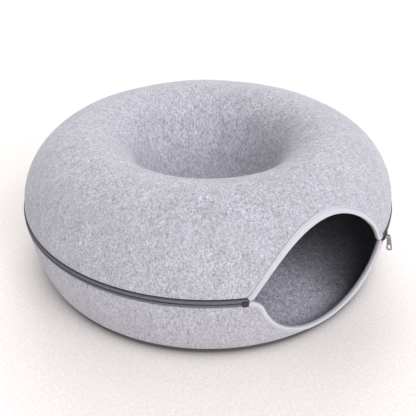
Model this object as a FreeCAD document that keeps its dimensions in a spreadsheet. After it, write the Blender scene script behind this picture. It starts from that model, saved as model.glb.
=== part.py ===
"""Round felt pet bed with a hollow ring, a side entrance and a zip round its middle.

Two moulded felt halves meet at a zip that runs round the widest part of the ring.
Each half is half of a hollow ring whose middle is closed by a bowl, so the bed has a
nest on top and a tunnel inside. A lens-shaped entrance is cut through both halves at
the front and its edges are bound with tape. The zip separates, so the top lifts off.

Frame: millimetres, +Z up, the origin on the ground at the ring's axis, and the
entrance facing -Y. Every size is a cell of the sheet, and formulas lead from there.
"""
import FreeCAD, Part
import math
import os

import Sketcher

DRIVING_SIZES = [
    # the two felt mouldings
    ("ring_radius", 250),          # from the axis to the widest place, at the zip
    ("zip_height", 90),            # of the zip above the ground
    ("tube_radius", 90),           # of the top half's outer wall and crown
    ("rim_radius", 60),            # of the crown's inner side, where it turns into the nest
    ("funnel_angle", 68),          # of the nest's wall from the level
    ("nest_round", 45),            # between the nest's wall and its floor
    ("side_radius", 265),          # of the lower half's steep side
    ("foot_radius", 217),          # outer radius of the flat ring that it stands on
    ("base_inner", 130),           # inner radius of that flat ring
    ("base_round", 40),            # between the flat ring and the hollow under the nest
    ("felt", 4),                   # thickness of the felt
    ("hem", 2),                    # thickness of the felt where it is pressed on the zip
    ("hem_length", 16),            # over which the felt thins to that
    ("floor_height", 60),          # above the ground, where the two nest floors meet
    ("floor_gap", 0.4),            # between the two nest floors
    # the entrance
    ("entrance_half", 104),        # from the middle of the entrance to its corner
    ("rise", 63.6),                # of the entrance above the zip
    ("drop", 72),                  # of the entrance below the zip
    ("apex_shift", 7),             # of the entrance's highest place towards +X
    ("long_tip", 21.5),            # radius that turns an edge into the corner: top +X, bottom -X
    ("short_tip", 10.5),           # the same at the other two ends
    ("entrance_depth", 130),       # distance of the cut's inner end from the axis
    ("binding_width", 6.5),
    ("binding_thick", 1),
    ("binding_sweep", 47.2),       # angle about the axis that the bindings span, up to the zip
    ("half_gap", 0.3),             # from the zip's middle to the bound edge of each half
    ("wrap_top", 78.5),            # above the zip, past the highest place that is bound
    ("wrap_low", 10.5),            # above the ground, past the lowest place that is bound
    # the zip
    ("band_half", 5.5),            # half of the bare band between the felt edges
    ("band_radius", 251.4),        # of the band's face, which stands a little proud
    ("band_flat", 4.2),            # half of the band's flat part
    ("tape_thick", 0.8),
    ("tape_edge", 0.8),            # from the zip's middle to the tape's edge
    ("tape_flange", 10),           # sewn on behind the felt
    ("coil_thick", 2),
    ("coil_width", 2.6),
    ("zip_first", -66.2),          # bearing of the tape's closed end, in degrees from +X
    ("zip_sweep", 312.2),          # angle from there round the back to the other end
    ("chain_first", -65.6),        # bearing of the first tooth
    ("chain_sweep", 309.5),
    # slider and pull
    ("slider_bearing", -64.15),
    ("slider_length", 12.6),
    ("slider_width", 8.2),
    ("plate_thick", 1.4),
    ("plate_gap", 0.35),           # running clearance over tape and coil
    ("wedge_width", 0.8),
    ("bridge_bar", 1.6),           # thickness of the bar that the pull hangs on
    ("bridge_span", 5.2),          # clear length under the bar
    ("bridge_clear", 2.6),         # clear height under the bar
    ("bridge_width", 2),
    ("pull_length", 16),           # from the bar to the middle of the rounded end
    ("pull_end", 3.5),             # radius of the rounded end
    ("pull_neck", 2.2),            # radius of the eye's outside
    ("pull_eye", 1.45),            # radius of the eye's hole
    ("pull_slot", 1.5),            # radius of the slot's ends
    ("pull_slot_length", 3),       # between the centres of the slot's ends
    ("pull_thick", 1.5),
    ("pull_lean", 11),             # of the hanging pull from the plumb line
    # end fittings
    ("box_bearing", 245.1),
    ("box_length", 7),
    ("box_width", 7.2),
    ("box_depth", 4.8),
    ("pin_length", 6.4),
    ("stop_bearing", -65.9),
    ("stop_length", 1.8),
    ("clip_thick", 0.8),           # of the pin and the stops outside the tape
    ("clip_reach", 2.6),           # from the zip's middle to the clips' far edge
    ("clip_start", 0.2),           # from the zip's middle to the clips' near edge
]

NEAR = 1e-6  # two places closer than this, in mm, are one
ENTRANCE_CUT = 1000  # least volume that each half loses to the entrance, in mm3
PULL_CUT = 1  # least volume that the pull loses to each of its holes, in mm3

doc = FreeCAD.newDocument("felt_ring_bed")
sheet = doc.addObject("Spreadsheet::Sheet", "sizes")


class Size:
    """A number together with the formula that gives it from the sheet's cells."""

    def __init__(self, value, text):
        self.value = value
        self.text = text

    def _joined(self, sign, other, value, swap=False):
        other_text = other.text if isinstance(other, Size) else repr(other)
        first, second = (other_text, self.text) if swap else (self.text, other_text)
        return Size(value, f"({first} {sign} {second})")

    def __add__(self, other):
        return self._joined("+", other, self.value + number(other))

    def __radd__(self, other):
        return self._joined("+", other, number(other) + self.value, swap=True)

    def __sub__(self, other):
        return self._joined("-", other, self.value - number(other))

    def __rsub__(self, other):
        return self._joined("-", other, number(other) - self.value, swap=True)

    def __mul__(self, other):
        return self._joined("*", other, self.value * number(other))

    def __rmul__(self, other):
        return self._joined("*", other, number(other) * self.value, swap=True)

    def __truediv__(self, other):
        return self._joined("/", other, self.value / number(other))

    def __neg__(self):
        return Size(-self.value, f"(-1 * {self.text})")


def number(size):
    return size.value if isinstance(size, Size) else size


def sine(degrees):
    return Size(math.sin(math.radians(degrees.value)), f"sin({degrees.text} * 1 deg)")


def cosine(degrees):
    return Size(math.cos(math.radians(degrees.value)), f"cos({degrees.text} * 1 deg)")


def root(square):
    return Size(math.sqrt(square.value), f"sqrt({square.text})")


class Sizes:
    """The sheet's cells by alias, each as a Size."""


dim = Sizes()
for row, (alias, value) in enumerate(DRIVING_SIZES, start=1):
    sheet.set(f"A{row}", alias)
    sheet.set(f"B{row}", str(value))
    sheet.setAlias(f"B{row}", alias)
    setattr(dim, alias, Size(float(value), f"sizes.{alias}"))
doc.recompute()


# ---------------------------------------------------------------- sketch helpers


def arc(centre, clockwise=False):
    """The marker for an outline's leg that turns round a centre."""
    return centre, clockwise


def bind(feature, path, size):
    """Tie a feature's property to the sheet."""
    if isinstance(size, Size):
        feature.setExpression(path, size.text)


def pin_down(sketch, kind, places, size):
    """Add a dimension whose value follows the sheet."""
    index = sketch.addConstraint(Sketcher.Constraint(kind, *places, number(size)))
    bind(sketch, f"Constraints[{index}]", size)


def pin_point(sketch, geometry, end, point):
    """Place one point of the sketch from its origin."""
    for kind, size in zip(("DistanceX", "DistanceY"), point):
        if abs(number(size)) < NEAR:
            axis = -2 if kind == "DistanceX" else -1
            sketch.addConstraint(Sketcher.Constraint("PointOnObject", geometry, end, axis))
        else:
            pin_down(sketch, kind, (-1, 1, geometry, end), size)


def draw_outline(sketch, points, legs):
    """Draw a closed outline: points are its corners, legs are None or arc(centre)."""
    ends = []
    for place, leg in enumerate(legs):
        start = FreeCAD.Vector(*[number(c) for c in points[place]], 0)
        stop = FreeCAD.Vector(*[number(c) for c in points[(place + 1) % len(points)]], 0)
        if leg is None:
            sketch.addGeometry(Part.LineSegment(start, stop), False)
            ends.append((1, 2))
            continue
        centre, clockwise = leg
        middle = FreeCAD.Vector(number(centre[0]), number(centre[1]), 0)
        radius = (start - middle).Length
        circle = Part.Circle(middle, FreeCAD.Vector(0, 0, 1), radius)
        first, last = (stop, start) if clockwise else (start, stop)
        from_angle = math.atan2(first.y - middle.y, first.x - middle.x)
        to_angle = math.atan2(last.y - middle.y, last.x - middle.x)
        if to_angle <= from_angle:
            to_angle += 2 * math.pi
        sketch.addGeometry(Part.ArcOfCircle(circle, from_angle, to_angle), False)
        ends.append((2, 1) if clockwise else (1, 2))
    count = len(legs)
    for place in range(count):
        following = (place + 1) % count
        sketch.addConstraint(
            Sketcher.Constraint("Coincident", place, ends[place][1], following, ends[following][0])
        )
        pin_point(sketch, place, ends[place][0], points[place])


def draw_radii(sketch, radii):
    """Fix the radius of each arc by its place in the outline."""
    for place, radius in radii.items():
        pin_down(sketch, "Radius", (place,), radius)


def draw_circle(sketch, centre, radius):
    middle = FreeCAD.Vector(number(centre[0]), number(centre[1]), 0)
    circle = Part.Circle(middle, FreeCAD.Vector(0, 0, 1), number(radius))
    index = sketch.addGeometry(circle, False)
    pin_point(sketch, index, 3, centre)
    pin_down(sketch, "Radius", (index,), radius)


def new_body(label):
    body = doc.addObject("PartDesign::Body", label)
    body.Label = label
    return body


def new_sketch(body, name, plane="XZ_Plane"):
    """A sketch on one of the body's own origin planes."""
    sketch = body.newObject("Sketcher::SketchObject", name)
    support = [f for f in body.Origin.OriginFeatures if f.Role == plane][0]
    sketch.AttachmentSupport = [(support, "")]
    sketch.MapMode = "FlatFace"
    return sketch


def revolve(body, sketch, sweep=360):
    """Turn a section about the ring's axis, anticlockwise from +X."""
    turned = body.newObject("PartDesign::Revolution", f"{sketch.Name}_turned")
    turned.Profile = sketch
    turned.ReferenceAxis = (sketch, ["V_Axis"])
    turned.Angle = number(sweep)
    bind(turned, "Angle", sweep)
    return turned


def pad(body, sketch, length):
    """Thicken a sketch by the same amount on both sides of its plane."""
    padded = body.newObject("PartDesign::Pad", f"{sketch.Name}_pad")
    padded.Profile = sketch
    padded.SideType = "Symmetric"
    padded.Length = number(length)
    bind(padded, "Length", length)
    return padded


def turn_to(feature, bearing):
    """Turn a finished piece about the ring's axis to its bearing."""
    feature.Placement = FreeCAD.Placement(
        FreeCAD.Vector(), FreeCAD.Rotation(FreeCAD.Vector(0, 0, 1), number(bearing))
    )
    bind(feature, "Placement.Rotation.Angle", bearing * Size(1, "1 deg"))


# ---------------------------------------------------------------- shared geometry

crown_r = dim.ring_radius - dim.tube_radius
total_height = dim.zip_height + dim.tube_radius
funnel_sin = sine(dim.funnel_angle)
funnel_cos = cosine(dim.funnel_angle)

# The lower half's side arc meets the round at its foot where both share a tangent.
side_centre_r = dim.ring_radius - dim.side_radius
foot_span = dim.ring_radius - dim.foot_radius
foot_round = (
    foot_span * foot_span + dim.zip_height * dim.zip_height - 2 * foot_span * dim.side_radius
) / (2 * (dim.zip_height - dim.side_radius))
foot_join_sin = (dim.zip_height - foot_round) / (dim.side_radius - foot_round)
foot_join_cos = root(1 - foot_join_sin * foot_join_sin)


def on_top_wall(radius, height):
    """A point of the top half's outer wall arc, at a height above the zip."""
    return crown_r + root(radius * radius - height * height), dim.zip_height + height


def on_side_wall(radius, depth):
    """A point of the lower half's side arc, at a depth below the zip."""
    return side_centre_r + root(radius * radius - depth * depth), dim.zip_height - depth


def hem_points(wall_point, radius):
    """The zip edge of a half's section: where the hem starts inside, and its two corners."""
    hem_start = wall_point(radius - dim.felt, dim.hem_length)
    outer = wall_point(radius, dim.band_half)
    inner = (outer[0] - dim.hem, outer[1])
    return hem_start, inner, outer


def level(sign, height):
    """A height above the zip in the top half, sign 1, or below it in the lower half, -1."""
    return dim.zip_height + sign * height


# ---------------------------------------------------------------- felt mouldings


def nest_section(sign, rim_r, rim_level, rim_round, floor_face, floor_back):
    """The nest's wall and floor: outside points inwards, then inside points outwards.

    sign is 1 for the top half, whose nest hollows downwards, and -1 for the lower half,
    whose middle rises. floor_face and floor_back are the heights of the floor's sides.
    """
    rim_centre = (rim_r, rim_level - sign * rim_round)
    nest_centre_z = floor_face + sign * dim.nest_round

    def leave_rim(radius):
        return rim_centre[0] - radius * funnel_sin, rim_centre[1] + sign * radius * funnel_cos

    # The wall runs straight from the rim's round to the nest's round.
    start = leave_rim(rim_round)
    nest_start_z = nest_centre_z - sign * dim.nest_round * funnel_cos
    run = (start[1] - nest_start_z) * sign * funnel_cos / funnel_sin
    nest_centre_r = start[0] - run - dim.nest_round * funnel_sin
    nest_centre = (nest_centre_r, nest_centre_z)

    def reach_nest(radius):
        return nest_centre_r + radius * funnel_sin, nest_centre_z - sign * radius * funnel_cos

    outside = [start, reach_nest(dim.nest_round), (nest_centre_r, floor_face)]
    behind = dim.nest_round + dim.felt
    inside = [
        (nest_centre_r, floor_back),
        reach_nest(behind),
        leave_rim(rim_round - dim.felt),
    ]
    return rim_centre, nest_centre, outside, inside


def make_top_shell():
    """Half ring whose crown turns down into the nest; open below, with a hem at the zip."""
    body = new_body("upper_shell")
    sketch = new_sketch(body, "upper_section")
    floor_back = dim.floor_height + dim.floor_gap / 2
    floor_face = floor_back + dim.felt
    rim_centre, nest_centre, outside, inside = nest_section(
        1, crown_r, total_height, dim.rim_radius, floor_face, floor_back
    )
    tube_centre = (crown_r, dim.zip_height)
    hem_start, hem_inner, hem_outer = hem_points(on_top_wall, dim.tube_radius)
    crown_face = (crown_r, total_height)
    crown_back = (crown_r, total_height - dim.felt)
    axis = Size(0.0, "0")
    points = [hem_outer, crown_face, *outside, (axis, floor_face), (axis, floor_back)]
    points += [*inside, crown_back, hem_start, hem_inner]
    legs = [arc(tube_centre), arc(rim_centre), None, arc(nest_centre, True), None, None]
    legs += [None, arc(nest_centre), None, arc(rim_centre, True), arc(tube_centre, True)]
    legs += [None, None]
    draw_outline(sketch, points, legs)
    behind = dim.nest_round + dim.felt
    draw_radii(
        sketch,
        {
            0: dim.tube_radius,
            1: dim.rim_radius,
            3: dim.nest_round,
            7: behind,
            9: dim.rim_radius - dim.felt,
            10: dim.tube_radius - dim.felt,
        },
    )
    revolve(body, sketch)
    cut_entrance(body, 1, dim.rise)
    return body


def make_lower_shell():
    """Half ring with steep sides and a flat ring to stand on; its middle rises as a bowl."""
    body = new_body("lower_shell")
    sketch = new_sketch(body, "lower_section")
    floor_back = dim.floor_height - dim.floor_gap / 2
    floor_face = floor_back - dim.felt
    ground = Size(0.0, "0")
    rim_centre, nest_centre, outside, inside = nest_section(
        -1, dim.base_inner, ground, dim.base_round, floor_face, floor_back
    )
    side_centre = (side_centre_r, dim.zip_height)
    foot_centre = (dim.foot_radius, foot_round)
    hem_start, hem_inner, hem_outer = hem_points(on_side_wall, dim.side_radius)

    def foot_join(radius):
        return (
            side_centre_r + radius * foot_join_cos,
            dim.zip_height - radius * foot_join_sin,
        )

    points = [hem_outer, foot_join(dim.side_radius), (dim.foot_radius, ground)]
    points += [(dim.base_inner, ground), *outside, (ground, floor_face), (ground, floor_back)]
    points += [*inside, (dim.base_inner, dim.felt), (dim.foot_radius, dim.felt)]
    points += [foot_join(dim.side_radius - dim.felt), hem_start, hem_inner]
    legs = [arc(side_centre, True), arc(foot_centre, True), None, arc(rim_centre, True), None]
    legs += [arc(nest_centre), None, None, None, arc(nest_centre, True), None, arc(rim_centre)]
    legs += [None, arc(foot_centre), arc(side_centre), None, None]
    draw_outline(sketch, points, legs)
    draw_radii(
        sketch,
        {
            0: dim.side_radius,
            1: foot_round,
            3: dim.base_round,
            5: dim.nest_round,
            9: dim.nest_round + dim.felt,
            11: dim.base_round - dim.felt,
            13: foot_round - dim.felt,
            14: dim.side_radius - dim.felt,
        },
    )
    revolve(body, sketch)
    cut_entrance(body, -1, dim.drop)
    return body


# ---------------------------------------------------------------- entrance and binding


def apex_across(sign):
    """Where the entrance is highest; it is deepest in the middle."""
    return dim.apex_shift if sign > 0 else Size(0.0, "0")


def arch_side(sign, towards, height, grown):
    """The part of the entrance's edge from its apex towards +X, 1, or towards -X, -1.

    A wide arc runs down from the apex. Near the corner a small arc turns it until it
    runs level, so the corner is drawn out to a point at the zip.
    """
    shift = apex_across(sign)
    width = dim.entrance_half - towards * shift
    tip = dim.long_tip if towards == sign else dim.short_tip
    wide = (width * width / height + height) / 2 - tip
    wide_centre = (shift, level(sign, height - wide))
    tip_centre = (towards * dim.entrance_half, level(sign, tip))
    share = (wide + grown) / (wide + tip)
    join = tuple(w + (t - w) * share for w, t in zip(wide_centre, tip_centre))
    return wide_centre, tip_centre, join, wide + grown, tip - grown


def draw_arch(sketch, sign, height, grown):
    """Half of the entrance, seen from the front, grown outwards by an amount."""
    right_wide, right_tip, right_join, right_r, right_tip_r = arch_side(sign, 1, height, grown)
    left_wide, left_tip, left_join, left_r, left_tip_r = arch_side(sign, -1, height, grown)
    width = dim.entrance_half
    end_z = level(sign, grown)
    # The outline runs past the zip's middle, so that no skin is left between the halves.
    back_z = level(-sign, 2 * dim.half_gap)
    apex = (apex_across(sign), level(sign, height + grown))
    points = [(width, end_z), right_join, apex, left_join, (-width, end_z)]
    points += [(-width, back_z), (width, back_z)]
    over = sign < 0
    legs = [arc(right_tip, not over), arc(right_wide, over), arc(left_wide, over)]
    legs += [arc(left_tip, not over), None, None, None]
    draw_outline(sketch, points, legs)
    draw_radii(sketch, {0: right_tip_r, 1: right_r, 2: left_r, 3: left_tip_r})


def cut_entrance(body, sign, height):
    """Cut the entrance through the outer wall only, from the front towards the axis."""
    sketch = new_sketch(body, f"{body.Name}_entrance")
    draw_arch(sketch, sign, height, dim.binding_thick)
    sketch.AttachmentOffset = FreeCAD.Placement(
        FreeCAD.Vector(0, 0, dim.entrance_depth.value), FreeCAD.Rotation()
    )
    bind(sketch, "AttachmentOffset.Base.z", dim.entrance_depth)
    doc.recompute()
    before = body.Shape.Volume
    cut = body.newObject("PartDesign::Pocket", f"{body.Name}_cut")
    cut.Profile = sketch
    cut.Length = dim.ring_radius.value
    bind(cut, "Length", dim.ring_radius)
    cut.Reversed = True
    doc.recompute()
    if body.Shape.Volume > before - ENTRANCE_CUT:
        raise RuntimeError(f"the entrance did not cut {body.Name}")


def arch_prism(name, sign, height, grown):
    """The space behind the entrance's outline, grown by an amount, as a solid."""
    sketch = doc.addObject("Sketcher::SketchObject", f"{name}_outline")
    sketch.Placement = FreeCAD.Placement(
        FreeCAD.Vector(0, -dim.entrance_depth.value, 0),
        FreeCAD.Rotation(FreeCAD.Vector(1, 0, 0), 90),
    )
    bind(sketch, "Placement.Base.y", -dim.entrance_depth)
    draw_arch(sketch, sign, height, grown)
    prism = doc.addObject("Part::Extrusion", name)
    prism.Base = sketch
    prism.DirMode = "Custom"
    prism.Dir = FreeCAD.Vector(0, -1, 0)
    prism.LengthFwd = dim.ring_radius.value
    bind(prism, "LengthFwd", dim.ring_radius)
    prism.Solid = True
    return prism


def turned_band(name, points, legs, radii):
    """The part of the wall that can be bound: a section turned to both sides of the front."""
    sketch = doc.addObject("Sketcher::SketchObject", f"{name}_section")
    upright = FreeCAD.Rotation(FreeCAD.Vector(1, 0, 0), 90)
    to_front = FreeCAD.Rotation(FreeCAD.Vector(0, 0, 1), -90)
    sketch.Placement = FreeCAD.Placement(FreeCAD.Vector(), to_front * upright)
    draw_outline(sketch, points, legs)
    draw_radii(sketch, radii)
    band = doc.addObject("Part::Revolution", name)
    band.Source = sketch
    band.Axis = FreeCAD.Vector(0, 0, 1)
    band.Angle = dim.binding_sweep.value
    bind(band, "Angle", dim.binding_sweep)
    band.Symmetric = True
    band.Solid = True
    return band


def cut_from(name, base, tool):
    cut = doc.addObject("Part::Cut", name)
    cut.Base = base
    cut.Tool = tool
    return cut


def make_binding(label, shell, wall, sign, height):
    """Tape folded over the cut edge: as thick as the felt plus a layer on each side."""
    outer = arch_prism(f"{label}_reach", sign, height, dim.binding_width)
    inner = arch_prism(f"{label}_clear", sign, height, Size(0.0, "0"))
    strip = cut_from(f"{label}_strip", outer, inner)
    wrapped = doc.addObject("Part::Common", f"{label}_wrap")
    wrapped.Base = wall
    wrapped.Tool = strip
    binding = cut_from(label, wrapped, shell)
    binding.Label = label
    return binding


def make_top_binding(shell):
    out = dim.tube_radius + dim.binding_thick
    back = dim.tube_radius - dim.felt - dim.binding_thick
    corners = [
        on_top_wall(out, dim.half_gap),
        on_top_wall(out, dim.wrap_top),
        on_top_wall(back, dim.wrap_top),
        on_top_wall(back, dim.half_gap),
    ]
    centre = (crown_r, dim.zip_height)
    legs = [arc(centre), None, arc(centre, True), None]
    wall = turned_band("upper_wall", corners, legs, {0: out, 2: back})
    return make_binding("upper_binding", shell, wall, 1, dim.rise)


def make_lower_binding(shell):
    out = dim.binding_thick
    back = -1 * (dim.felt + dim.binding_thick)
    side_centre = (side_centre_r, dim.zip_height)
    foot_centre = (dim.foot_radius, foot_round)

    def join(shift):
        radius = dim.side_radius + shift
        return (
            side_centre_r + radius * foot_join_cos,
            dim.zip_height - radius * foot_join_sin,
        )

    def foot(shift):
        radius = foot_round + shift
        fall = foot_round - dim.wrap_low
        return dim.foot_radius + root(radius * radius - fall * fall), dim.wrap_low

    points = [on_side_wall(dim.side_radius + out, dim.half_gap), join(out), foot(out)]
    points += [foot(back), join(back), on_side_wall(dim.side_radius + back, dim.half_gap)]
    legs = [arc(side_centre, True), arc(foot_centre, True), None]
    legs += [arc(foot_centre), arc(side_centre), None]
    radii = {
        0: dim.side_radius + out,
        1: foot_round + out,
        3: foot_round + back,
        4: dim.side_radius + back,
    }
    wall = turned_band("lower_wall", points, legs, radii)
    return make_binding("lower_binding", shell, wall, -1, dim.drop)


# ---------------------------------------------------------------- zip


def hem_inside(sign):
    """The felt that a tape is sewn to: where its hem starts inside, and the hem's inner corner."""
    if sign > 0:
        hem_start, inner, _ = hem_points(on_top_wall, dim.tube_radius)
    else:
        hem_start, inner, _ = hem_points(on_side_wall, dim.side_radius)
    return hem_start, inner


def heading(start, stop):
    """The unit direction from one point of a section to the next."""
    across, along = stop[0] - start[0], stop[1] - start[1]
    length = root(across * across + along * along)
    return across / length, along / length


def set_back(corner, before, after):
    """The tape's back behind a corner of its face, between the face's two directions."""
    share = dim.tape_thick / (1 + before[0] * after[0] + before[1] * after[1])
    return corner[0] - (before[1] + after[1]) * share, corner[1] + (before[0] + after[0]) * share


def make_tape(label, sign):
    """Woven strip: a proud band at the zip, a step down, and a flange sewn on behind the hem."""
    body = new_body(label)
    sketch = new_sketch(body, f"{label}_section")
    hem_start, hem_inner = hem_inside(sign)
    # Places are radius and distance from the zip.
    edge = (dim.band_radius, dim.tape_edge)
    shoulder = (dim.band_radius, dim.band_flat)
    fold = (hem_inner[0], dim.band_half)
    up = (Size(0.0, "0"), Size(1.0, "1"))
    step = heading(shoulder, fold)
    slope = heading(fold, (hem_start[0], dim.hem_length))
    end = (fold[0] + slope[0] * dim.tape_flange, fold[1] + slope[1] * dim.tape_flange)
    face = [edge, shoulder, fold, end]
    back = [
        set_back(end, slope, slope),
        set_back(fold, step, slope),
        set_back(shoulder, up, step),
        set_back(edge, up, up),
    ]
    points = [(radius, level(sign, away)) for radius, away in face + back]
    draw_outline(sketch, points, [None] * len(points))
    revolve(body, sketch, dim.zip_sweep)
    turn_to(body, dim.zip_first)
    return body


def make_coil(label, sign):
    """One row of the coil, sewn to the inside of its tape's edge, as a rounded strip."""
    body = new_body(label)
    sketch = new_sketch(body, f"{label}_section")
    face = dim.band_radius - dim.tape_thick
    back = face - dim.coil_thick
    soft = dim.coil_thick / 4
    near = dim.tape_edge
    far = dim.tape_edge + dim.coil_width
    far_soft = (back + soft, level(sign, far - soft))
    near_soft = (back + soft, level(sign, near + soft))
    clockwise = sign < 0
    points = [
        (face, level(sign, near)),
        (face, level(sign, far)),
        (back + soft, level(sign, far)),
        (back, level(sign, far - soft)),
        (back, level(sign, near + soft)),
        (back + soft, level(sign, near)),
    ]
    legs = [None, None, arc(far_soft, clockwise), None, arc(near_soft, clockwise), None]
    draw_outline(sketch, points, legs)
    draw_radii(sketch, {2: soft, 4: soft})
    revolve(body, sketch, dim.chain_sweep)
    turn_to(body, dim.chain_first)
    return body


def make_slider():
    """Two plates joined by a wedge between the tapes, with a bridge for the pull outside."""
    body = new_body("zip_slider")
    coil_back = dim.band_radius - dim.tape_thick - dim.coil_thick
    outer_low = dim.band_radius + dim.plate_gap
    outer_top = outer_low + dim.plate_thick
    inner_top = coil_back - dim.plate_gap
    inner_low = inner_top - dim.plate_thick
    half = dim.slider_width / 2
    web = dim.wedge_width / 2
    mid = dim.zip_height
    section = new_sketch(body, "slider_section")
    points = [
        (inner_low, mid - half),
        (inner_top, mid - half),
        (inner_top, mid - web),
        (outer_low, mid - web),
        (outer_low, mid - half),
        (outer_top, mid - half),
        (outer_top, mid + half),
        (outer_low, mid + half),
        (outer_low, mid + web),
        (inner_top, mid + web),
        (inner_top, mid + half),
        (inner_low, mid + half),
    ]
    draw_outline(section, points, [None] * len(points))
    pad(body, section, dim.slider_length)
    doc.recompute()

    # The bridge is an arch over the outer plate, along the zip.
    bridge = new_sketch(body, "slider_bridge", "XY_Plane")
    inside = dim.bridge_span / 2
    outside = inside + dim.bridge_bar
    under = outer_top + dim.bridge_clear
    over = under + dim.bridge_bar
    soft = dim.bridge_bar / 2
    sunk = outer_top - dim.plate_thick / 2
    points = [
        (sunk, -outside),
        (over - soft, -outside),
        (over, -outside + soft),
        (over, outside - soft),
        (over - soft, outside),
        (sunk, outside),
        (sunk, inside),
        (under, inside),
        (under, -inside),
        (sunk, -inside),
    ]
    legs = [None, arc((over - soft, -outside + soft)), None, arc((over - soft, outside - soft))]
    legs += [None] * 6
    draw_outline(bridge, points, legs)
    draw_radii(bridge, {1: soft, 3: soft})
    bridge.AttachmentOffset = FreeCAD.Placement(
        FreeCAD.Vector(0, 0, mid.value), FreeCAD.Rotation()
    )
    bind(bridge, "AttachmentOffset.Base.z", mid)
    plates_and_bridge = pad(body, bridge, dim.bridge_width)
    doc.recompute()

    # The plates' corners are rounded, as the wide end's cheeks are.
    reach = number(dim.slider_length) / 2
    corners = []
    for index, edge in enumerate(body.Shape.Edges, start=1):
        box = edge.BoundBox
        through_plate = box.XLength > NEAR and box.YLength < NEAR and box.ZLength < NEAR
        at_end = abs(abs(box.Center.y) - reach) < NEAR
        at_side = abs(abs(box.Center.z - number(mid)) - number(half)) < NEAR
        if through_plate and at_end and at_side:
            corners.append(f"Edge{index}")
    corner_r = dim.slider_width / 4
    rounding = body.newObject("PartDesign::Fillet", "slider_corners")
    rounding.Base = (plates_and_bridge, corners)
    rounding.Radius = number(corner_r)
    bind(rounding, "Radius", corner_r)
    turn_to(body, dim.slider_bearing)
    return body


def bar_radius_from_axis():
    """Distance of the bridge bar's middle from the ring's axis."""
    plate_top = dim.band_radius + dim.plate_gap + dim.plate_thick
    return plate_top + dim.bridge_clear + dim.bridge_bar / 2


def leaning_sketch(body, name):
    """A sketch turned about the bridge's bar, by the lean of the hanging pull."""
    sketch = new_sketch(body, name)
    sketch.AttachmentOffset = FreeCAD.Placement(
        FreeCAD.Vector(), FreeCAD.Rotation(FreeCAD.Vector(0, 0, 1), dim.pull_lean.value)
    )
    bind(sketch, "AttachmentOffset.Rotation.Angle", dim.pull_lean * Size(1, "1 deg"))
    return sketch


def make_pull():
    """Flat tab that hangs on the bridge by its eye and has a slot at its wide end."""
    body = new_body("zip_pull")
    sketch = leaning_sketch(body, "pull_outline")
    length, neck, end = dim.pull_length, dim.pull_neck, dim.pull_end
    # The straight sides touch both round ends.
    slant_sin = (end - neck) / length
    slant_cos = root(1 - slant_sin * slant_sin)
    zero = Size(0.0, "0")
    points = [
        (neck * slant_cos, neck * slant_sin),
        (-1 * neck * slant_cos, neck * slant_sin),
        (-1 * end * slant_cos, end * slant_sin - length),
        (end * slant_cos, end * slant_sin - length),
    ]
    legs = [arc((zero, zero)), None, arc((zero, -length)), None]
    draw_outline(sketch, points, legs)
    draw_radii(sketch, {0: neck, 2: end})
    pad(body, sketch, dim.pull_thick)
    doc.recompute()

    eye = leaning_sketch(body, "pull_eye_hole")
    draw_circle(eye, (zero, zero), dim.pull_eye)
    slot = leaning_sketch(body, "pull_slot_hole")
    hole, run = dim.pull_slot, dim.pull_slot_length
    points = [(hole, run - length), (-hole, run - length), (-hole, -length), (hole, -length)]
    draw_outline(slot, points, [arc((zero, run - length)), None, arc((zero, -length)), None])
    # The straight sides already set these ends' width, so each needs only its centre's height.
    for place, height in ((0, run - length), (2, -length)):
        pin_down(slot, "DistanceY", (-1, 1, place, 3), height)
    for name, outline in (("eye", eye), ("slot", slot)):
        doc.recompute()
        before = body.Shape.Volume
        hollow = body.newObject("PartDesign::Pocket", f"pull_{name}_cut")
        hollow.Profile = outline
        hollow.SideType = "Symmetric"
        hollow.Length = 2 * dim.pull_thick.value
        bind(hollow, "Length", 2 * dim.pull_thick)
        doc.recompute()
        if body.Shape.Volume > before - PULL_CUT:
            raise RuntimeError(f"the pull's {name} did not cut")

    bar = bar_radius_from_axis()
    turn_to(body, dim.slider_bearing)
    bind(body, "Placement.Base.x", bar * cosine(dim.slider_bearing))
    bind(body, "Placement.Base.y", bar * sine(dim.slider_bearing))
    bind(body, "Placement.Base.z", dim.zip_height)
    return body


def clip_section(sketch, sign, near, far):
    """Section of a clip that grips a tape's edge: a channel open away from the zip."""
    face = dim.band_radius
    back = face - dim.tape_thick
    points = [
        (back - dim.clip_thick, level(sign, near)),
        (face + dim.clip_thick, level(sign, near)),
        (face + dim.clip_thick, level(sign, far)),
        (face, level(sign, far)),
        (face, level(sign, dim.tape_edge)),
        (back, level(sign, dim.tape_edge)),
        (back, level(sign, far)),
        (back - dim.clip_thick, level(sign, far)),
    ]
    draw_outline(sketch, points, [None] * len(points))


def make_clip(label, sign, bearing, length):
    body = new_body(label)
    sketch = new_sketch(body, f"{label}_section")
    clip_section(sketch, sign, dim.clip_start, dim.clip_reach)
    pad(body, sketch, length)
    turn_to(body, bearing)
    return body


def make_retainer_box():
    """Block on the lower tape's end, with a channel on top that takes the insertion pin."""
    body = new_body("zip_retainer_box")
    sketch = new_sketch(body, "box_section")
    face = dim.band_radius
    back = face - dim.tape_thick
    mid = dim.zip_height
    half = dim.box_width / 2
    middle_r = (face + back) / 2
    low, high = middle_r - dim.box_depth / 2, middle_r + dim.box_depth / 2
    room = dim.clip_thick + dim.plate_gap
    points = [
        (low, mid - half),
        (back, mid - half),
        (back, mid - dim.tape_edge),
        (face, mid - dim.tape_edge),
        (face, mid - half),
        (high, mid - half),
        (high, mid + dim.clip_reach),
        (face + room, mid + dim.clip_reach),
        (face + room, mid - dim.clip_start),
        (back - room, mid - dim.clip_start),
        (back - room, mid + dim.clip_reach),
        (low, mid + dim.clip_reach),
    ]
    draw_outline(sketch, points, [None] * len(points))
    pad(body, sketch, dim.box_length)
    turn_to(body, dim.box_bearing)
    return body


# ---------------------------------------------------------------- assembly

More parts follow.
